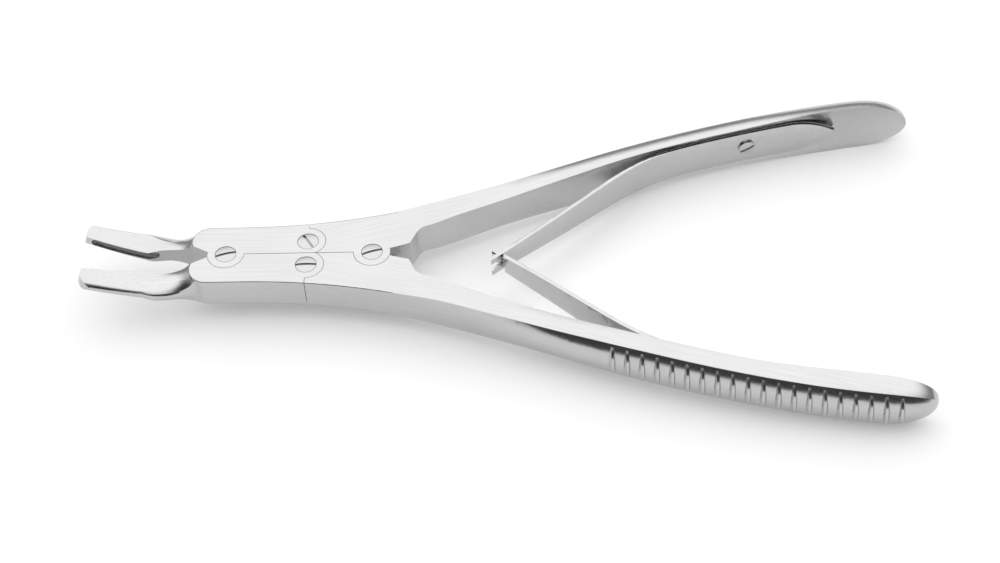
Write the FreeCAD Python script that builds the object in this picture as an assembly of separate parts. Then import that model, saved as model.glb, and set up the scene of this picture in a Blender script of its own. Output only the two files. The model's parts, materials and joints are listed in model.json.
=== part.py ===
"""Double-action bone rongeur, 18 cm, with upward curved narrow jaws and two leaf springs.

Four forged levers make the linkage: two jaws meet at the front pivot, two handles at the
rear pivot, and each jaw tail is linked to the front of the handle on its own side. All
lengths are millimetres. The shapes are drawn with the front pivot at x = 0, handles
towards +X and half the thickness on each side of z = 0, then moved so that the origin
lies under the middle of the open instrument.
"""
import FreeCAD, Part
import math
import os
from FreeCAD import Vector

# Linkage, in plan, with the jaws open
pivot_span = 31.0
link_x = 17.25
link_y = 3.32
jaw_open_deg = 8.4

# Joint box
box_thickness = 6.9
cheek_share = 1.0 / 3.0
front_lobe_radius = 3.85
rear_lobe_radius = 3.85
link_lobe_radius = 3.72
box_front_half_width = 7.9
box_flare_start = 3.0
box_flare_power = 2.1
box_flare_steps = 4
swell_lead = 5.0
edge_round = 0.35

# Clearances
parting_gap = 0.12
split_gap = 0.12
lobe_gap = 0.10
slot_relief = 0.7
lap_gap = 0.06
pin_gap = 0.03
head_gap = 0.1
seat_gap = 0.02
rim_gap = 0.06

# Pivot and link screws
shank_radius = 1.5
thread_radius = 1.2
head_radius = 2.18
head_depth = 1.1
head_dome = 0.2
dome_fullness = 0.76
screw_slot_width = 0.6
screw_slot_depth = 0.65
front_slot_deg = 16.0
rear_slot_deg = 19.0
upper_slot_deg = -57.0
lower_slot_deg = 1.0

# Notches before the front pivot and behind the rear pivot
front_notch_start = 3.9
front_notch_slot = 1.2
front_notch_half = 0.72
front_notch_length = 3.5
front_notch_rise = 1.93
rear_notch_start = 0.6
rear_notch_half = 2.3
rear_notch_reach = 7.9
rear_notch_wall = 5.2
rear_notch_lean = 1.3
rear_notch_bend = 0.33

# Jaws: rounded shoulder, then the neck, which is deepest about a third of the way along
shoulder_round = 4.0
shoulder_slant = 1.7
neck_length = 9.8
neck_top = 1.27
neck_bottom = -1.8
neck_fall = 0.19
neck_inset = 0.82
neck_waist = 1.15
neck_drop = 1.35
neck_keel = 0.45
neck_ease = 1.6
neck_crown = 0.35
neck_stations = (0, 0.15, 0.33, 0.55, 0.78)
neck_inset_skew = 1.3
neck_drop_skew = 0.6

# Jaws: blade, which climbs in a slow curve to its tip
jaw_reach = 30.7
jaw_back_y = 8.45
jaw_rim_height = 2.35
jaw_tip_height = 2.05
jaw_lift = 0.22
jaw_rise_deg = 12.0
jaw_curve_radius = 105.0
jaw_ease = 0.6
jaw_ease_drop = 0.5
jaw_ease_bow = 0.1
jaw_foot_share = 0.7
jaw_back_round = 0.95
blade_steps = 4
tip_corner_radius = 3.0
tip_margin = 0.3
tip_nose = 1.2
tip_lean = 0.3

# Hollow of the jaws
cup_width = 1.8
cup_ledge = 0.06
cup_depth = 2.5
cup_end_wall = 1.6
cup_length = 14.2

# Handles
handle_lead = 15.0
handle_length = 115.0
handle_tip_y = 39.2
inner_root_back = 3.0
inner_root_y = 7.2
inner_root_deg = 19.9
inner_root_pull = 5.2
inner_tip_deg = 3.6
inner_tip_pull = 45.4
grip_length = 54.0
paddle_length = 38.0
paddle_blend = 22.0
shaft_level = 12.0
shaft_half_height = 3.88
grip_inner_half_height = 5.2
paddle_inner_half_height = 6.1
grip_outer_half_height = 4.6
grip_band = 3.7
shaft_band_extra = 2.4
band_fade = 18.0
band_close = 0.7
grip_bulge = 1.7
bulge_length = 44.0
grip_crown = 0.3
crown_length = 30.0
dish_depth = 1.1
dish_lead = 16.0
end_round = 12.0
shaft_stations = 11
swell_stations = 4

# Grip ribs, counted from the paddle end
rib_count = 20
rib_pitch = 3.0
rib_end_gap = 7.6
rib_height = 0.6
rib_root = 0.7
rib_top_width = 0.5
rib_foot_width = 2.2
rib_end_margin = 0.5

# Leaf springs and their screws
leaf_thickness = 0.8
leaf_root_half = 4.0
leaf_tip_half = 2.3
leaf_root_back = 15.6
leaf_seat_length = 30.4
leaf_cross_lead = 27.0
leaf_cross_deg = 39.0
leaf_root_pull = 16.2
leaf_tip_pull = 33.8
leaf_taper_lead = 12.0
leaf_point_length = 9.5
leaf_point_round = 0.7
leaf_point_bow = 0.75
leaf_overrun = 1.9
leaf_trim = 0.8
leaf_shoulder = 0.8
leaf_slot_extra = 0.4
leaf_seat = 0.38
hook_half = 0.8
hook_slot_half = 0.98
leaf_screw_back = 19.6
leaf_screw_head = 1.75
leaf_screw_head_height = 0.7
leaf_screw_rim_height = 0.42
leaf_screw_slot_depth = 0.45
leaf_screw_radius = 1.0
leaf_screw_length = 3.2
leaf_hole_gap = 0.1
leaf_slot_deg = 35.0

# Worked out from the sizes above
half = box_thickness / 2
tongue_half = half * (1 - 2 * cheek_share)
part_y = parting_gap / 2
handle_start = pivot_span + handle_lead
handle_tip_x = pivot_span + handle_length
swell_start = pivot_span + swell_lead
inner_root_x = handle_start - inner_root_back
shoulder_x = -(front_notch_start + front_notch_length)
shoulder_y = front_notch_half + front_notch_rise
blade_x = shoulder_x - neck_length
rib_last = handle_tip_x - rib_end_gap
leaf_root_x = handle_tip_x - leaf_root_back
leaf_leave_x = leaf_root_x - leaf_seat_length
leaf_screw_x = leaf_root_x - leaf_screw_back
leaf_cross_x = pivot_span + leaf_cross_lead
far = 4 * half
wide = handle_tip_y
up = Vector(0, 0, 1)


def cylinder(radius, x, y, low, high):
    return Part.makeCylinder(radius, high - low, Vector(x, y, low))


def prism(edges, low, high):
    """Closed plan outline, raised from low to high."""
    face = Part.Face(Part.Wire(Part.__sortEdges__(edges)))
    face.translate(Vector(0, 0, low))
    return face.extrude(Vector(0, 0, high - low))


def line(a, b):
    return Part.LineSegment(a, b).toShape()


def arc_or_line(a, b, sag):
    """Edge from a to b whose middle stands out by the vector sag."""
    if sag.Length < 0.01:
        return line(a, b)
    return Part.Arc(a, (a + b) / 2 + sag, b).toShape()


def polyline(points):
    return [line(a, b) for a, b in zip(points, points[1:])]


def spline(points):
    curve = Part.BSplineCurve()
    curve.interpolate(points)
    return curve.toShape()


def bow(share, skew=1.0):
    """Rises from 0 at share 0 to 1 and back to 0 at share 1, with its top moved by the skew."""
    return math.sin(math.pi * share ** skew)


def dome_arc(rim, top):
    """Arc of a low dome, from its rim to its top on the z axis."""
    middle = Vector(rim.x / 2, 0, rim.z + dome_fullness * (top.z - rim.z))
    return Part.Arc(rim, middle, top).toShape()


def smooth(x, start, end):
    """Rises from 0 at start to 1 at end, level at both."""
    t = min(max((x - start) / (end - start), 0.0), 1.0)
    return t * t * (3 - 2 * t)


def bezier_point(poles, t):
    s = 1 - t
    a, b, c, d = poles
    return a * s ** 3 + b * (3 * s * s * t) + c * (3 * s * t * t) + d * t ** 3


def bezier_at_x(poles, x):
    """Point of a curve that runs towards +X, found by halving."""
    low, high = 0.0, 1.0
    for _ in range(40):
        middle = (low + high) / 2
        if bezier_point(poles, middle).x < x:
            low = middle
        else:
            high = middle
    return bezier_point(poles, (low + high) / 2)


def direction(degrees):
    angle = math.radians(degrees)
    return Vector(math.cos(angle), math.sin(angle), 0)


def mirrored(shape):
    return shape.mirror(Vector(0, 0, 0), Vector(0, 1, 0))


# Handle form: laws along x that the blank, the loft, the ribs and the springs share
inner_root = Vector(inner_root_x, inner_root_y, 0)
inner_tip = Vector(handle_tip_x, handle_tip_y, 0)
inner_poles = [
    inner_root,
    inner_root + direction(inner_root_deg) * inner_root_pull,
    inner_tip - direction(inner_tip_deg) * inner_tip_pull,
    inner_tip,
]
grip_start = handle_tip_x - grip_length
paddle_start = handle_tip_x - paddle_length
paddle_full = paddle_start + paddle_blend
end_start = handle_tip_x - end_round


def end_factor(x):
    """One along the handle, falling to zero round the paddle end."""
    t = min(max((x - end_start) / end_round, 0.0), 0.999)
    return math.sqrt(1 - t * t)


def inner_y(x):
    return bezier_at_x(inner_poles, x).y


def inner_half(x):
    grip = (grip_inner_half_height - shaft_half_height) * smooth(x, handle_start + shaft_level, grip_start)
    paddle = (paddle_inner_half_height - grip_inner_half_height) * smooth(x, paddle_start, paddle_full)
    return (shaft_half_height + grip + paddle) * end_factor(x)


def outer_half(x):
    grip = (grip_outer_half_height - shaft_half_height) * smooth(x, handle_start + shaft_level, grip_start)
    return (shaft_half_height + grip) * end_factor(x)


def band(x):
    """Depth in plan from the inner face to the outer crease."""
    extra = shaft_band_extra * math.exp((handle_start - x) / band_fade)
    return (grip_band + extra) * end_factor(x) ** band_close


def bulge(x):
    return grip_bulge * smooth(x, swell_start, swell_start + bulge_length) * end_factor(x)


def crown(x):
    return grip_crown * smooth(x, handle_start, handle_start + crown_length) * end_factor(x)


def dish(x):
    return dish_depth * smooth(x, handle_start + dish_lead, grip_start) * end_factor(x)


def handle_section(x):
    """D-shaped section: dished inner face, crowned sloping bands and a bulging outer face."""
    inner = inner_y(x)
    outer = inner + band(x)
    top_in = Vector(x, inner, inner_half(x))
    top_out = Vector(x, outer, outer_half(x))
    low_out = Vector(x, outer, -outer_half(x))
    low_in = Vector(x, inner, -inner_half(x))
    edges = [
        arc_or_line(top_in, top_out, up * crown(x)),
        arc_or_line(top_out, low_out, Vector(0, bulge(x), 0)),
        arc_or_line(low_out, low_in, up * -crown(x)),
        arc_or_line(low_in, top_in, Vector(0, dish(x), 0)),
    ]
    return Part.Wire(edges)


def handle_shaft():
    """Handle behind the joint box, lofted to the rounded paddle end."""
    step = (end_start - handle_start) / shaft_stations
    stations = [handle_start + step * i for i in range(shaft_stations + 1)]
    stations += [end_start + end_round * math.sin(math.radians(a)) for a in (24, 42, 58, 71, 81, 87)]
    return Part.makeLoft([handle_section(x) for x in stations], True, False)


def grip_rib(x):
    """Ridge across the outer face, curved more than the face so that its ends run out into it."""
    rise = bulge(x)
    face_radius = (outer_half(x) ** 2 + rise ** 2) / (2 * rise)
    reach_z = outer_half(x) - rib_end_margin
    drop = face_radius - math.sqrt(face_radius ** 2 - reach_z ** 2) + rib_height
    radius = (reach_z ** 2 + drop ** 2) / (2 * drop)
    top_y = inner_y(x) + band(x) + rise + rib_height
    low_y = top_y - rib_height - rib_root
    ridge = Part.Face(Part.Wire(polyline([
        Vector(x - rib_foot_width / 2, low_y, 0), Vector(x - rib_top_width / 2, top_y, 0),
        Vector(x + rib_top_width / 2, top_y, 0), Vector(x + rib_foot_width / 2, low_y, 0),
        Vector(x - rib_foot_width / 2, low_y, 0),
    ])))
    centre = Vector(x, top_y - radius, 0)
    half_turn = math.degrees(math.asin(reach_z / radius))
    ridge.rotate(centre, Vector(1, 0, 0), -half_turn)
    return ridge.revolve(centre, Vector(1, 0, 0), 2 * half_turn)


def box_half_width(x):
    """Straight beside the front pivot, then flaring to meet the handle."""
    rear = inner_y(handle_start) + band(handle_start)
    share = max(0.0, x - box_flare_start) / (handle_start - box_flare_start)
    return box_front_half_width + (rear - box_front_half_width) * share ** box_flare_power


def box_corner(x):
    return Vector(x, box_half_width(x), 0)


def box_flare(x_low, x_high):
    """Flaring outer edge of the joint box in plan, smooth with what it runs on to."""
    step = (x_high - x_low) / box_flare_steps
    curve = Part.BSplineCurve()
    curve.interpolate(
        [box_corner(x_low + step * i) for i in range(box_flare_steps + 1)],
        InitialTangent=box_corner(x_low + step / 100) - box_corner(x_low),
        FinalTangent=box_corner(x_high) - box_corner(x_high - step / 100),
    )
    return curve.toShape()


def edge_rounded(shape):
    """Outer top and bottom edges of a box blank, eased."""
    edges = []
    for edge in shape.Edges:
        middle = edge.valueAt((edge.FirstParameter + edge.LastParameter) / 2)
        outer = middle.y > shoulder_y + edge_round and abs(abs(middle.z) - half) < edge_round / 10
        if outer and edge.BoundBox.XLength > edge_round:
            edges.append(edge)
    return shape.makeFillet(edge_round, edges)


def jaw_box():
    """Jaw side of the joint box: notch, rounded shoulder and outer edge, up to the split."""
    apex = Vector(-front_notch_start, front_notch_half, 0)
    shoulder = Vector(shoulder_x, shoulder_y, 0)
    centre_y = box_front_half_width - shoulder_round
    centre_x = shoulder_x + math.sqrt(shoulder_round ** 2 - (shoulder_y - centre_y) ** 2)
    centre = Vector(centre_x, centre_y, 0)
    turned = Vector(centre_x, box_front_half_width, 0)
    outward = (shoulder + turned) / 2 - centre
    outward.normalize()
    split = link_x - split_gap / 2
    outline = polyline([
        box_corner(split), Vector(split, part_y, 0), Vector(apex.x + front_notch_slot, part_y, 0),
        apex, shoulder,
    ])
    outline += [
        Part.Arc(shoulder, centre + outward * shoulder_round, turned).toShape(),
        line(turned, box_corner(box_flare_start)),
        box_flare(box_flare_start, split),
    ]
    return edge_rounded(prism(outline, -half, half))


def handle_box():
    """Handle side of the joint box, from the split to the swelling root of the handle."""
    split = link_x + split_gap / 2
    outline = polyline([
        box_corner(swell_start), Vector(swell_start, part_y, 0), Vector(split, part_y, 0), box_corner(split),
    ])
    return edge_rounded(prism(outline + [box_flare(split, swell_start)], -half, half))


def handle_swell():
    """Root of the handle, where the flat box thickens and its outer face starts to bulge."""
    step = (handle_start - swell_start) / swell_stations
    sections = []
    for i in range(swell_stations + 1):
        x = swell_start + step * i
        height = half + (shaft_half_height - half) * smooth(x, swell_start, handle_start)
        top_in = Vector(x, part_y, height)
        top_out = Vector(x, box_half_width(x), height)
        low_out = Vector(x, box_half_width(x), -height)
        low_in = Vector(x, part_y, -height)
        sections.append(Part.Wire([
            line(top_in, top_out),
            arc_or_line(top_out, low_out, Vector(0, bulge(x), 0)),
            line(low_out, low_in),
            line(low_in, top_in),
        ]))
    return Part.makeLoft(sections, True, False)


def upper_side():
    """Block above the parting line."""
    return Part.makeBox(4 * pivot_span, wide, 2 * far, Vector(-2 * pivot_span, part_y, -far))


def rear_notch():
    """Opening behind the rear pivot, up to the inner edge of the handle."""
    apex = Vector(pivot_span + rear_notch_start, part_y, 0)
    mouth = Vector(pivot_span + rear_notch_reach, rear_notch_half, 0)
    wall = Vector(mouth.x + rear_notch_lean, rear_notch_wall, 0)
    bend = (wall + inner_root) / 2 + Vector(-rear_notch_bend, rear_notch_bend, 0)
    inner_middle = bezier_at_x(inner_poles, (handle_start + inner_root_x) / 2)
    inner_end = bezier_at_x(inner_poles, handle_start)
    below_end = Vector(inner_end.x, -half, 0)
    below_apex = Vector(apex.x, -half, 0)
    return prism([
        line(below_apex, apex),
        line(apex, mouth),
        line(mouth, wall),
        Part.Arc(wall, bend, inner_root).toShape(),
        Part.Arc(inner_root, inner_middle, inner_end).toShape(),
        line(inner_end, below_end),
        line(below_end, below_apex),
    ], -far, far)


def cheeks(radius, x, y):
    """Top and bottom discs of a forked lap."""
    top = cylinder(radius, x, y, tongue_half, half)
    bottom = cylinder(radius, x, y, -half, -tongue_half)
    return [top, bottom]


def fork(lever, radius, x, y, relief=lobe_gap, side=None):
    """Lap whose two cheeks carry the screw, with a slot for the tongue between them."""
    lever = lever.cut(cylinder(radius + relief, x, y, -tongue_half, tongue_half))
    for disc in cheeks(radius, x, y):
        lever = lever.fuse(disc if side is None else disc.common(side))
    lever = lever.cut(cylinder(shank_radius + seat_gap, x, y, tongue_half, half))
    lever = lever.cut(cylinder(head_radius + head_gap, x, y, half - head_depth, far))
    return lever.cut(cylinder(thread_radius + seat_gap, x, y, -far, -tongue_half))


def tongue(lever, radius, x, y, side=None):
    """Lap whose middle third turns on the screw, relieved for the cheeks around it."""
    reach = tongue_half - lap_gap
    disc = cylinder(radius, x, y, -reach, reach)
    for low, high in ((reach, far), (-far, -reach)):
        lever = lever.cut(cylinder(radius + lobe_gap, x, y, low, high))
    lever = lever.fuse(disc if side is None else disc.common(side))
    return lever.cut(cylinder(shank_radius + pin_gap, x, y, -far, far))


def swollen(a, b, unit, sag):
    """Edge from a to b in an upright plane along unit, standing out by the sag."""
    chord = b - a
    out = Vector(-unit.x * chord.z, -unit.y * chord.z, unit.dot(chord))
    out.normalize()
    return arc_or_line(a, b, out * sag)


def jaw_section(inner, outer, top, crown_rise, ease, drop, bottom, foot_share, foot, round_out):
    """Jaw section in the upright plane through its inner and outer plan points.

    The top face is eased down to the crease, and from the crease the back curves to the foot.
    """
    across = outer - inner
    unit = Vector(across)
    unit.normalize()
    top_in = inner + up * top
    ease_in = outer - unit * ease + up * top
    crease = outer + up * (top - drop)
    low_out = inner + across * foot_share + up * foot
    low_in = inner + up * bottom
    return Part.Wire([
        arc_or_line(top_in, ease_in, up * crown_rise),
        swollen(ease_in, crease, unit, jaw_ease_bow * drop),
        swollen(crease, low_out, unit, round_out),
        line(low_out, low_in),
        line(low_in, top_in),
    ])


def rim_y(x):
    """Cutting rims lie on lines that meet at the front pivot once the jaws close."""
    return -x * math.tan(math.radians(jaw_open_deg)) + rim_gap


def rise(x):
    """Height of the middle of the blade, which climbs to the tip."""
    along = max(0.0, blade_x - x)
    return jaw_lift + along * math.tan(math.radians(jaw_rise_deg)) + along ** 2 / (2 * jaw_curve_radius)


def rim_half(x):
    """Half the height of the rim, which grows lower towards the tip."""
    share = max(0.0, blade_x - x) / (blade_x + jaw_reach)
    return (jaw_rim_height + (jaw_tip_height - jaw_rim_height) * share) / 2


def blade_section(x):
    """Section of the blade: a flat rim inside and a rounded back outside."""
    top = rise(x) + rim_half(x)
    bottom = rise(x) - rim_half(x)
    return jaw_section(Vector(x, rim_y(x), 0), Vector(x, jaw_back_y, 0), top, 0.0,
                       jaw_ease, jaw_ease_drop, bottom, jaw_foot_share, bottom, jaw_back_round)


def neck_section(share):
    """Section of the neck, part of the way from the shoulder to the blade."""
    fall = math.exp(-share / neck_fall)
    x = shoulder_x - share * neck_length
    straight_y = shoulder_y + (rim_y(blade_x) - shoulder_y) * share
    inner = Vector(x, straight_y + neck_inset * bow(share, neck_inset_skew), 0)
    outer = Vector(x + shoulder_slant * (1 - share) ** 3,
                   jaw_back_y - neck_waist * (1 - smooth(share, 0, 1)), 0)
    top = neck_top + (half - neck_top) * fall
    bottom = neck_bottom - (half + neck_bottom) * fall
    return jaw_section(
        inner, outer, top,
        crown_rise=4 * neck_crown * fall * (1 - fall),
        ease=jaw_ease + neck_ease * bow(share),
        drop=jaw_ease_drop * share + neck_drop * bow(share, neck_drop_skew),
        bottom=bottom,
        foot_share=1 - (1 - jaw_foot_share) * share,
        foot=bottom - neck_keel * bow(share),
        round_out=jaw_back_round * math.sqrt(share),
    )


def jaw_blade():
    """Neck and curved-up blade, lofted forward from inside the box shoulder."""
    neck = [neck_section(share) for share in neck_stations]
    end_x = -jaw_reach - cup_width
    blade = [blade_section(blade_x + (end_x - blade_x) * i / blade_steps) for i in range(blade_steps + 1)]
    neck_loft = Part.makeLoft(neck + blade[:1], True, False, False, 3)
    return neck_loft.fuse(Part.makeLoft(blade, True, False, False, 3))


def jaw_plan():
    """Plan trim of the blade: the rounded tip, square to the climb, and the clear side of the rim."""
    x0 = -jaw_reach
    r = tip_corner_radius
    out_y = jaw_back_y + tip_margin
    centre = Vector(x0 + r, out_y - r, 0)
    start = Vector(x0 + tip_lean, rim_y(x0) - tip_nose, 0)
    nose = Vector(x0, centre.y, 0)
    top = Vector(centre.x, out_y, 0)
    rear = Vector(0, out_y, 0)
    low = Vector(0, -half, 0)
    face = Part.Face(Part.Wire([
        line(start, nose),
        Part.Arc(nose, centre + direction(135) * r, top).toShape(),
        line(top, rear),
        line(rear, low),
        line(low, start),
    ]))
    climb = rise(x0) - rise(x0 + 1)
    run = Vector(climb, 0, 1) * (2 * far)
    face.translate(up * (rise(x0) - rim_half(x0)) - run / 2)
    return face.extrude(run)


def cup():
    """Hollow of the blade: a slot with round ends, open at the rim, and a round-bottomed groove below it."""
    radius = cup_width / 2
    deep_radius = radius - cup_ledge
    front_x = -jaw_reach + cup_end_wall + radius
    rear_x = front_x + cup_length - cup_width
    middle = (front_x + rear_x) / 2

    def at(x, lift=0.0):
        return Vector(x, rim_y(x) + cup_depth - deep_radius, rise(x) + lift)

    route = Part.Arc(at(front_x), at(middle), at(rear_x)).toShape()
    ring = Part.Wire(Part.makeCircle(deep_radius, at(front_x), route.tangentAt(route.FirstParameter)))
    groove = Part.Wire(route).makePipeShell([ring], True, True)
    groove = groove.fuse([Part.makeSphere(deep_radius, at(x)) for x in (front_x, rear_x)])
    mouth = Part.Face(Part.Wire([
        Part.Arc(at(front_x, radius), at(middle, radius), at(rear_x, radius)).toShape(),
        Part.Arc(at(rear_x, radius), at(rear_x + radius), at(rear_x, -radius)).toShape(),
        Part.Arc(at(rear_x, -radius), at(middle, -radius), at(front_x, -radius)).toShape(),
        Part.Arc(at(front_x, -radius), at(front_x - radius), at(front_x, radius)).toShape(),
    ]))
    return groove.fuse(mouth.extrude(Vector(0, -2 * cup_depth, 0)))


def jaw_blank():
    """Jaw without its laps: box half, neck and hollow blade."""
    return jaw_box().fuse(jaw_blade().common(jaw_plan()).cut(cup()))


def handle_blank():
    """Handle without its laps: box half, rear opening, shaft and grip ribs."""
    box = handle_box().fuse(handle_swell()).cut(rear_notch())
    shape = box.fuse(handle_shaft())
    ribs = [grip_rib(rib_last - rib_pitch * i) for i in range(rib_count)]
    shape = shape.fuse(ribs)
    return shape.cut(leaf_screw_hole())


def upper_jaw():
    jaw = fork(jaw_blank(), front_lobe_radius, 0, 0, slot_relief)
    return fork(jaw, link_lobe_radius, link_x, link_y, side=upper_side())


def lower_jaw():
    jaw = tongue(mirrored(jaw_blank()), front_lobe_radius, 0, 0)
    return fork(jaw, link_lobe_radius, link_x, -link_y, side=mirrored(upper_side()))


def upper_handle():
    handle = fork(handle_blank(), rear_lobe_radius, pivot_span, 0, slot_relief)
    return tongue(handle, link_lobe_radius, link_x, link_y, upper_side())


def lower_handle():
    handle = tongue(mirrored(handle_blank()), rear_lobe_radius, pivot_span, 0)
    return tongue(handle, link_lobe_radius, link_x, -link_y, mirrored(upper_side()))


def pivot_screw(x, y, slot_deg):
    """Shouldered screw: domed slotted head, plain shank in the tongue, threaded end."""
    rim = half - seat_gap
    seat = half - head_depth + seat_gap
    foot = -tongue_half + seat_gap
    corners = [
        Vector(0, 0, -half + seat_gap), Vector(thread_radius, 0, -half + seat_gap),
        Vector(thread_radius, 0, foot), Vector(shank_radius, 0, foot),
        Vector(shank_radius, 0, seat), Vector(head_radius, 0, seat),
        Vector(head_radius, 0, rim),
    ]
    top = Vector(0, 0, rim + head_dome)
    edges = [line(a, b) for a, b in zip(corners, corners[1:])]
    edges += [dome_arc(corners[-1], top), line(top, corners[0])]
    screw = Part.Face(Part.Wire(edges)).revolve(Vector(0, 0, 0), Vector(0, 0, 1), 360)
    slot = Part.makeBox(3 * head_radius, screw_slot_width, far,
                        Vector(-1.5 * head_radius, -screw_slot_width / 2, rim - screw_slot_depth))
    slot.rotate(Vector(0, 0, 0), Vector(0, 0, 1), slot_deg)
    screw = screw.cut(slot)
    screw.translate(Vector(x, y, 0))
    return screw


def leaf_poles():
    """Free part of the leaf: from the centre line out to where it meets the handle."""
    leave = leaf_back(leaf_leave_x)
    slope = leaf_back(leaf_leave_x + 1) - leaf_back(leaf_leave_x - 1)
    slope.normalize()
    cross = Vector(leaf_cross_x, 0, 0)
    return [
        cross,
        cross + direction(leaf_cross_deg) * leaf_tip_pull,
        leave - slope * leaf_root_pull,
        leave,
    ]


def leaf_back(x):
    """Point on the middle of the leaf where it lies in the dish of the handle."""
    return Vector(x, inner_y(x) + leaf_seat - leaf_thickness / 2, 0)


def leaf_ribbon():
    """Leaf in plan: its two faces run side by side, one thickness apart."""
    poles = leaf_poles()
    tail = direction(leaf_cross_deg)
    middle = [poles[0] - tail * (leaf_overrun + leaf_trim)]
    middle += [bezier_point(poles, t / 6) for t in range(7)]
    middle += [leaf_back(leaf_leave_x + (leaf_root_x - leaf_leave_x) * i / 4) for i in range(1, 5)]
    curve = Part.BSplineCurve()
    curve.interpolate(middle)
    steps = 3 * (len(middle) - 1)
    faces = []
    for side in (-1, 1):
        points = []
        for i in range(steps + 1):
            u = curve.FirstParameter + (curve.LastParameter - curve.FirstParameter) * i / steps
            tangent = curve.tangent(u)[0]
            normal = Vector(-tangent.y, tangent.x, 0)
            points.append(curve.value(u) + normal * (side * leaf_thickness / 2))
        faces.append(spline(points))
    ends = [
        line(faces[0].Vertexes[0].Point, faces[1].Vertexes[0].Point),
        line(faces[0].Vertexes[-1].Point, faces[1].Vertexes[-1].Point),
    ]
    return prism(faces + ends, -far, far)


def leaf_elevation(tip_edges):
    """Leaf seen from the side: pointed root, parallel seat and a taper to the tip."""
    seat_end = leaf_leave_x - leaf_taper_lead
    point_start = leaf_root_x - leaf_point_length
    point_end = leaf_root_x - leaf_point_round
    shoulder = leaf_cross_x + leaf_shoulder
    edges = [Part.Arc(Vector(point_end, 0, leaf_point_round), Vector(leaf_root_x, 0, 0),
                      Vector(point_end, 0, -leaf_point_round)).toShape()]
    for side in (-1, 1):
        seat = Vector(seat_end, 0, side * leaf_root_half)
        full = Vector(point_start, 0, side * leaf_root_half)
        point = Vector(point_end, 0, side * leaf_point_round)
        edges += [
            arc_or_line(full, point, up * (side * leaf_point_bow)),
            line(full, seat),
            line(seat, Vector(shoulder, 0, side * leaf_tip_half)),
        ]
    edges += tip_edges(shoulder)
    face = Part.Face(Part.Wire(Part.__sortEdges__(edges)))
    face.translate(Vector(0, -wide, 0))
    return face.extrude(Vector(0, 2 * wide, 0))


def upright(points):
    return polyline([Vector(x, 0, z) for x, z in points])


def fork_tip(shoulder):
    """Two prongs with a slot between them."""
    end = leaf_cross_x - leaf_overrun
    slot_end = shoulder + leaf_slot_extra
    top = leaf_tip_half
    return upright([
        (shoulder, top), (end, top), (end, hook_slot_half), (slot_end, hook_slot_half),
        (slot_end, -hook_slot_half), (end, -hook_slot_half), (end, -top), (shoulder, -top),
    ])


def hook_tip(shoulder):
    """One narrow tongue that passes between the prongs."""
    end = leaf_cross_x - leaf_overrun
    top = leaf_tip_half
    return upright([
        (shoulder, top), (shoulder, hook_half), (end, hook_half),
        (end, -hook_half), (shoulder, -hook_half), (shoulder, -top),
    ])


def leaf_axis():
    """Point on the leaf's open face at its screw, and the way that the face looks."""
    step = leaf_back(leaf_screw_x + 1) - leaf_back(leaf_screw_x - 1)
    step.normalize()
    outward = Vector(step.y, -step.x, 0)
    return leaf_back(leaf_screw_x) + outward * (leaf_thickness / 2), outward


def leaf_screw_hole():
    face, outward = leaf_axis()
    depth = leaf_thickness + leaf_screw_length + seat_gap
    return Part.makeCylinder(leaf_screw_radius + seat_gap, depth, face - outward * depth, outward)


def leaf(tip_edges):
    face, outward = leaf_axis()
    shape = leaf_ribbon().common(leaf_elevation(tip_edges))
    hole = Part.makeCylinder(leaf_screw_radius + leaf_hole_gap, far, face - outward * (far / 2), outward)
    return shape.cut(hole)


def leaf_screw():
    """Small domed slotted screw that holds the leaf in the dish."""
    length = leaf_thickness + leaf_screw_length
    rim = seat_gap + leaf_screw_rim_height
    corners = [
        Vector(0, 0, -length), Vector(leaf_screw_radius, 0, -length),
        Vector(leaf_screw_radius, 0, seat_gap), Vector(leaf_screw_head, 0, seat_gap),
        Vector(leaf_screw_head, 0, rim),
    ]
    top = Vector(0, 0, seat_gap + leaf_screw_head_height)
    edges = [line(a, b) for a, b in zip(corners, corners[1:])]
    edges += [dome_arc(corners[-1], top), line(top, corners[0])]
    screw = Part.Face(Part.Wire(edges)).revolve(Vector(0, 0, 0), Vector(0, 0, 1), 360)
    slot = Part.makeBox(4 * leaf_screw_head, screw_slot_width, far,
                        Vector(-2 * leaf_screw_head, -screw_slot_width / 2, top.z - leaf_screw_slot_depth))
    slot.rotate(Vector(0, 0, 0), Vector(0, 0, 1), leaf_slot_deg)
    screw = screw.cut(slot)
    face, outward = leaf_axis()
    turn = FreeCAD.Rotation(Vector(0, 0, 1), outward)
    screw.Placement = FreeCAD.Placement(face, turn)
    return screw


nodes = {
    "upper_jaw": upper_jaw(),
    "lower_jaw": lower_jaw(),
    "upper_handle": upper_handle(),
    "lower_handle": lower_handle(),
    "front_pivot_screw": pivot_screw(0, 0, front_slot_deg),
    "rear_pivot_screw": pivot_screw(pivot_span, 0, rear_slot_deg),
    "upper_link_screw": pivot_screw(link_x, link_y, upper_slot_deg),
    "lower_link_screw": pivot_screw(link_x, -link_y, lower_slot_deg),
    "upper_leaf_spring": leaf(fork_tip),
    "lower_leaf_spring": mirrored(leaf(hook_tip)),
    "upper_spring_screw": leaf_screw(),
    "lower_spring_screw": mirrored(leaf_screw()),
}

middle_x = (handle_tip_x - jaw_reach) / 2
to_origin = Vector(-middle_x, 0, paddle_inner_half_height)

os.makedirs("parts", exist_ok=True)
for name, shape in nodes.items():
    shape = shape.removeSplitter()
    shape.translate(to_origin)
    shape.exportStep("parts/" + name + ".step")
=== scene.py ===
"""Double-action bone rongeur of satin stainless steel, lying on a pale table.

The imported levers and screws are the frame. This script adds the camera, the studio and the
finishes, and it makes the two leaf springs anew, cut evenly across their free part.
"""
import bpy
import json
import math
from mathutils import Matrix, Vector

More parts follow.
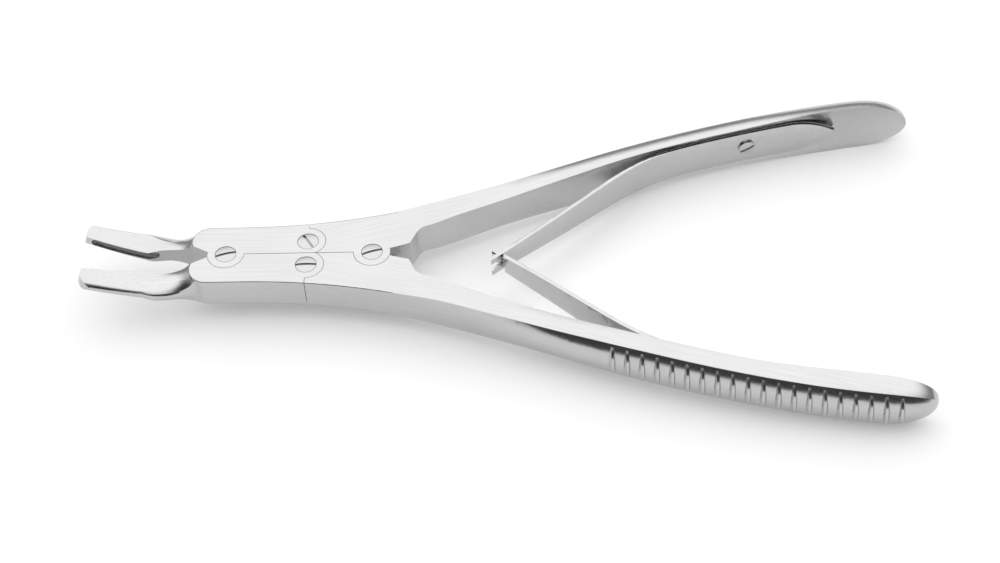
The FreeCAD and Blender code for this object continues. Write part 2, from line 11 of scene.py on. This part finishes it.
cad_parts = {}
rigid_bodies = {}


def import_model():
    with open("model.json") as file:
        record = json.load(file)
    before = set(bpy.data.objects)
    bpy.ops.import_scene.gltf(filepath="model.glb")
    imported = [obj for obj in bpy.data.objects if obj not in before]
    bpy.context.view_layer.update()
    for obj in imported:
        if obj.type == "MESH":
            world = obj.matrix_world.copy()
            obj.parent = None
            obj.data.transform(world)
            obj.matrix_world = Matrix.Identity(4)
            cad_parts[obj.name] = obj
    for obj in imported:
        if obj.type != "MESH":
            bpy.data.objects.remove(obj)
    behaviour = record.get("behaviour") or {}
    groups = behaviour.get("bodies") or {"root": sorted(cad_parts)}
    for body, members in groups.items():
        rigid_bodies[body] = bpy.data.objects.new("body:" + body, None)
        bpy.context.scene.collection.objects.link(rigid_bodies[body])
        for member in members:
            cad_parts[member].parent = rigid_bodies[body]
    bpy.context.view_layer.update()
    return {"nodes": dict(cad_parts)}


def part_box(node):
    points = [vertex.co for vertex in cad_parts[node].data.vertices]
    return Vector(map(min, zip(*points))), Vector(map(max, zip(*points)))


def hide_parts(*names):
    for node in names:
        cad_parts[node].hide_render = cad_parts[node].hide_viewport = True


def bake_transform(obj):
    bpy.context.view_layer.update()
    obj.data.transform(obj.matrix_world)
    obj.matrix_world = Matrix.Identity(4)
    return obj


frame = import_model()
bpy.ops.object.select_all(action="DESELECT")


# Camera: a long lens from the near side, looking down on the instrument at about 47 degrees.
# It is turned a little to the right and rolled, as the photographer held it.
view_aim = Vector((0.000304, -0.005924, 0.0061))
view_distance = 0.53224
view_tilt = math.radians(42.526)
view_turn = math.radians(4.504)
view_roll = math.radians(-4.259)
view_lens = 91.595
view_sensor = 36.0

camera_data = bpy.data.cameras.new("view_camera")
camera_data.lens = view_lens
camera_data.sensor_width = view_sensor
camera = bpy.data.objects.new("view_camera", camera_data)
bpy.context.scene.collection.objects.link(camera)
heading = (Matrix.Rotation(view_turn, 4, "Z") @ Matrix.Rotation(view_tilt, 4, "X")
           @ Matrix.Rotation(view_roll, 4, "Z"))
step_back = Matrix.Translation((0, 0, view_distance))
camera.matrix_world = Matrix.Translation(view_aim) @ heading @ step_back
bpy.context.scene.camera = camera
bpy.context.scene.view_settings.view_transform = "Standard"


# Table: a sheet of white paper under the instrument, which rests on its paddle ends and the
# front edge of its box. The paper glows a little for the eye and for the steel, and keeps the
# soft shadow.
class Field:
    """A number, colour or vector that varies over a surface, with the arithmetic of patterns."""

    def __init__(self, finish, socket):
        self.finish = finish
        self.socket = socket

    def joined(self, operation, first, second):
        return self.finish.node("ShaderNodeMath", {"operation": operation}, {0: first, 1: second})

    def __add__(self, other):
        return self.joined("ADD", self, other)

    def __radd__(self, other):
        return self.joined("ADD", other, self)

    def __sub__(self, other):
        return self.joined("SUBTRACT", self, other)

    def __rsub__(self, other):
        return self.joined("SUBTRACT", other, self)

    def __mul__(self, other):
        return self.joined("MULTIPLY", self, other)

    def __rmul__(self, other):
        return self.joined("MULTIPLY", other, self)


class Finish:
    """A surface finish made of shader nodes, ending in one output."""

    def __init__(self, name, tree=None):
        if tree is None:
            self.material = bpy.data.materials.new(name)
            self.material.use_nodes = True
            tree = self.material.node_tree
        self.tree = tree
        tree.nodes.clear()

    def node(self, kind, settings=None, inputs=None, output=0):
        """Adds a node, makes its settings, then fills or links its sockets."""
        made = self.tree.nodes.new(kind)
        for name, value in (settings or {}).items():
            setattr(made, name, value)
        for key, value in (inputs or {}).items():
            if isinstance(value, Field):
                self.tree.links.new(value.socket, made.inputs[key])
            else:
                made.inputs[key].default_value = value
        return Field(self, made.outputs[output])

    def ease(self, value, start, end):
        """Rises from 0 where value is start to 1 where it is end, level at both."""
        return self.node("ShaderNodeMapRange", {"interpolation_type": "SMOOTHSTEP"}, {
            "Value": value, "From Min": start, "From Max": end, "To Min": 0.0, "To Max": 1.0})

    def end(self, kind, surface):
        """Leads the surface into the tree's output node."""
        output = self.tree.nodes.new(kind)
        self.tree.links.new(surface.socket, output.inputs["Surface"])


pure_white = (1, 1, 1, 1)
table_size = 6.0
table_tone = (0.98, 0.98, 0.98, 1)
table_glow = 0.25
rest_back = Vector((0.072, 0, 0))
rest_front = Vector((-0.065, 0, 0.00265))

bpy.ops.mesh.primitive_plane_add(size=table_size)
table = bpy.context.object
table.name = "table_top"
slope = (rest_front - rest_back).normalized()
table_tilt = math.atan2(-slope.z, -slope.x)
table.matrix_world = Matrix.Translation(rest_back) @ Matrix.Rotation(table_tilt, 4, "Y")
table_finish = Finish("table_paper")
paper = table_finish.node("ShaderNodeBsdfDiffuse", inputs={"Color": table_tone})
white = table_finish.node("ShaderNodeEmission", inputs={"Color": pure_white, "Strength": 1.0})
looked_at = (table_finish.node("ShaderNodeLightPath", output="Is Camera Ray")
             + table_finish.node("ShaderNodeLightPath", output="Is Glossy Ray")
             + table_finish.node("ShaderNodeLightPath", output="Is Transmission Ray"))
sheet_surface = table_finish.node("ShaderNodeMixShader", inputs={
    0: looked_at * table_glow, 1: paper, 2: white})
table_finish.end("ShaderNodeOutputMaterial", sheet_surface)
table.data.materials.append(table_finish.material)


# Studio: one wide soft light overhead that leans to the far side, over a room that is dark low
# down on the near side and grey elsewhere. Steel needs both to show its form.
dome_lean = math.radians(10)
dome_edge = 0.4
dome_full = 0.8
dome_strength = 1.62
near_room = 0.05
far_room = 0.35
near_end = -0.6
far_end = -0.1

world = bpy.data.worlds.new("studio")
world.use_nodes = True
bpy.context.scene.world = world
sky = Finish("studio", world.node_tree)
ray = sky.node("ShaderNodeTexCoord", output="Generated")
side = sky.node("ShaderNodeSeparateXYZ", inputs={0: ray}, output="Y")
height = sky.node("ShaderNodeSeparateXYZ", inputs={0: ray}, output="Z")
dome_height = height * math.cos(dome_lean) + side * math.sin(dome_lean)
dome = sky.ease(dome_height, dome_edge, dome_full)
room = near_room + (far_room - near_room) * sky.ease(side, near_end, far_end)
light = room + (dome_strength - room) * dome
lit = sky.node("ShaderNodeBackground", inputs={"Color": pure_white, "Strength": light})
sky.end("ShaderNodeOutputWorld", lit)


# Jaws: two forged levers of stainless steel, ground and satin finished along their length. The
# box halves carry the forks and the tongue of the joints.
lines_per_metre = (50, 3600, 3600)
lines_share = 0.7
lines_roughness = 0.1
clouds_per_metre = 90.0
clouds_roughness = 0.03
lever_tone = 0.53
lever_streak = 0.08
lever_roughness = 0.21
lever_grain = 0.000003


def grey(tone):
    return (tone, tone, tone, 1)


def steel(name, tone, streak, roughness, grain, turn=0.0):
    """Satin steel with fine grinding lines along X, turned about Z to follow a bent lever."""
    finish = Finish(name)
    place = finish.node("ShaderNodeTexCoord", output="Object")
    turned = finish.node("ShaderNodeMapping", inputs={
        "Vector": place, "Rotation": (0, 0, -turn)})
    along = finish.node("ShaderNodeMapping", inputs={
        "Vector": turned, "Scale": lines_per_metre})
    lines = finish.node("ShaderNodeTexNoise", inputs={
        "Vector": along, "Scale": 1.0, "Detail": 2.0})
    clouds = finish.node("ShaderNodeTexNoise", inputs={
        "Vector": place, "Scale": clouds_per_metre, "Detail": 1.0})
    rough = roughness + (lines - 0.5) * lines_roughness + (clouds - 0.5) * clouds_roughness
    polish = finish.node("ShaderNodeMix", {"data_type": "RGBA"}, {
        0: lines * lines_share + clouds * (1 - lines_share),
        6: grey(tone - streak), 7: grey(tone + streak)}, output=2)
    relief = finish.node("ShaderNodeBump", inputs={
        "Strength": 1.0, "Distance": grain, "Height": lines})
    shine = finish.node("ShaderNodeBsdfPrincipled", inputs={
        "Base Color": polish, "Metallic": 1.0, "Roughness": rough, "Normal": relief})
    finish.end("ShaderNodeOutputMaterial", shine)
    return finish.material


def dress(name, material):
    """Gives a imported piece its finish."""
    piece = frame["nodes"][name]
    piece.data.materials.clear()
    piece.data.materials.append(material)


jaw_steel = steel("jaw_steel", lever_tone, lever_streak, lever_roughness, lever_grain)
for name in ("upper_jaw", "lower_jaw"):
    dress(name, jaw_steel)


# Handles: two forged levers of the same steel, their grinding lines following the bend of the
# shafts. Their paddles are dished for the springs and ribbed outside for the grip.
handle_bend = math.radians(17)
for name, turn in (("upper_handle", handle_bend), ("lower_handle", -handle_bend)):
    handle_steel = steel(
        name + "_steel", lever_tone, lever_streak, lever_roughness, lever_grain, turn)
    dress(name, handle_steel)


# Pivot and link screws: turned from stainless bar, with a shallow dome, fine rings left by the
# lathe and a milled slot. Each is screwed into the far cheek of its fork.
screw_tone = 0.5
screw_roughness = 0.17
ring_pitch = 0.0006
ring_depth = 0.000004


def turned_steel(name, centre):
    """Bright steel with rings round an upright axis through the centre."""
    finish = Finish(name)
    place = finish.node("ShaderNodeTexCoord", output="Object")
    flat = finish.node("ShaderNodeMapping", inputs={
        "Vector": place, "Location": (-centre.x, -centre.y, 0), "Scale": (1, 1, 0)})
    radius = finish.node("ShaderNodeVectorMath", {"operation": "LENGTH"}, {0: flat}, output="Value")
    rings = finish.node("ShaderNodeMath", {"operation": "SINE"}, {
        0: radius * (2 * math.pi / ring_pitch)})
    relief = finish.node("ShaderNodeBump", inputs={
        "Strength": 1.0, "Distance": ring_depth, "Height": rings})
    shine = finish.node("ShaderNodeBsdfPrincipled", inputs={
        "Base Color": grey(screw_tone), "Metallic": 1.0, "Roughness": screw_roughness,
        "Normal": relief})
    finish.end("ShaderNodeOutputMaterial", shine)
    return finish.material


for name in ("front_pivot_screw", "rear_pivot_screw", "upper_link_screw", "lower_link_screw"):
    low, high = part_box(name)
    centre = (Vector(low) + Vector(high)) / 2
    dress(name, turned_steel(name + "_steel", centre))


# Leaf springs: two strips of polished spring steel, each screwed into the dish of its handle.
# They meet in the middle, tongue between prongs. Even cuts run across the free part, and its
# edges are eased.
leaf_tone = 0.52
leaf_streak = 0.06
leaf_roughness = 0.16
leaf_grain = 0.0000015
leaf_leave_x = 0.04235
leaf_cross_x = 0.00035
leaf_cut_pitch = 0.0015
leaf_edge = 0.00006
leaf_edge_angle = math.radians(50)
leaf_smooth_angle = math.radians(35)
merge_distance = 0.000001

leaf_steel = steel("leaf_steel", leaf_tone, leaf_streak, leaf_roughness, leaf_grain)
leaf_cuts = int((leaf_leave_x - leaf_cross_x) / leaf_cut_pitch)
for own, other in (("upper_handle", "lower_handle"), ("lower_handle", "upper_handle")):
    name = own.split("_")[0] + "_leaf_spring"
    bpy.ops.object.select_all(action="DESELECT")
    bpy.context.view_layer.objects.active = frame["nodes"][name]
    frame["nodes"][name].select_set(True)
    bpy.ops.object.duplicate()
    leaf = bpy.context.object
    leaf.name = name + "_strip"
    bpy.ops.object.parent_clear(type="CLEAR_KEEP_TRANSFORM")
    bpy.ops.object.mode_set(mode="EDIT")
    bpy.ops.mesh.select_all(action="SELECT")
    bpy.ops.mesh.remove_doubles(threshold=merge_distance)
    for i in range(leaf_cuts):
        bpy.ops.mesh.select_all(action="SELECT")
        cut_x = leaf_leave_x - leaf_cut_pitch * i
        bpy.ops.mesh.bisect(plane_co=(cut_x, 0, 0), plane_no=(1, 0, 0))
    bpy.ops.mesh.select_all(action="SELECT")
    bpy.ops.mesh.normals_make_consistent(inside=False)
    bpy.ops.object.mode_set(mode="OBJECT")
    bevel = leaf.modifiers.new("eased_edges", "BEVEL")
    bevel.width = leaf_edge
    bevel.segments = 2
    bevel.limit_method = "ANGLE"
    bevel.angle_limit = leaf_edge_angle
    bpy.ops.object.modifier_apply(modifier=bevel.name)
    bpy.ops.object.shade_smooth_by_angle(angle=leaf_smooth_angle)
    leaf.data.materials.clear()
    leaf.data.materials.append(leaf_steel)
    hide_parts(name)
    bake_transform(leaf)


# Spring screws: small domed stainless screws with a satin finish. Each goes through its leaf
# into the dish of the handle and holds the leaf down.
spring_screw_steel = steel(
    "spring_screw_steel", screw_tone, streak=0.04, roughness=0.2, grain=0.000001)
for name in ("upper_spring_screw", "lower_spring_screw"):
    dress(name, spring_screw_steel)
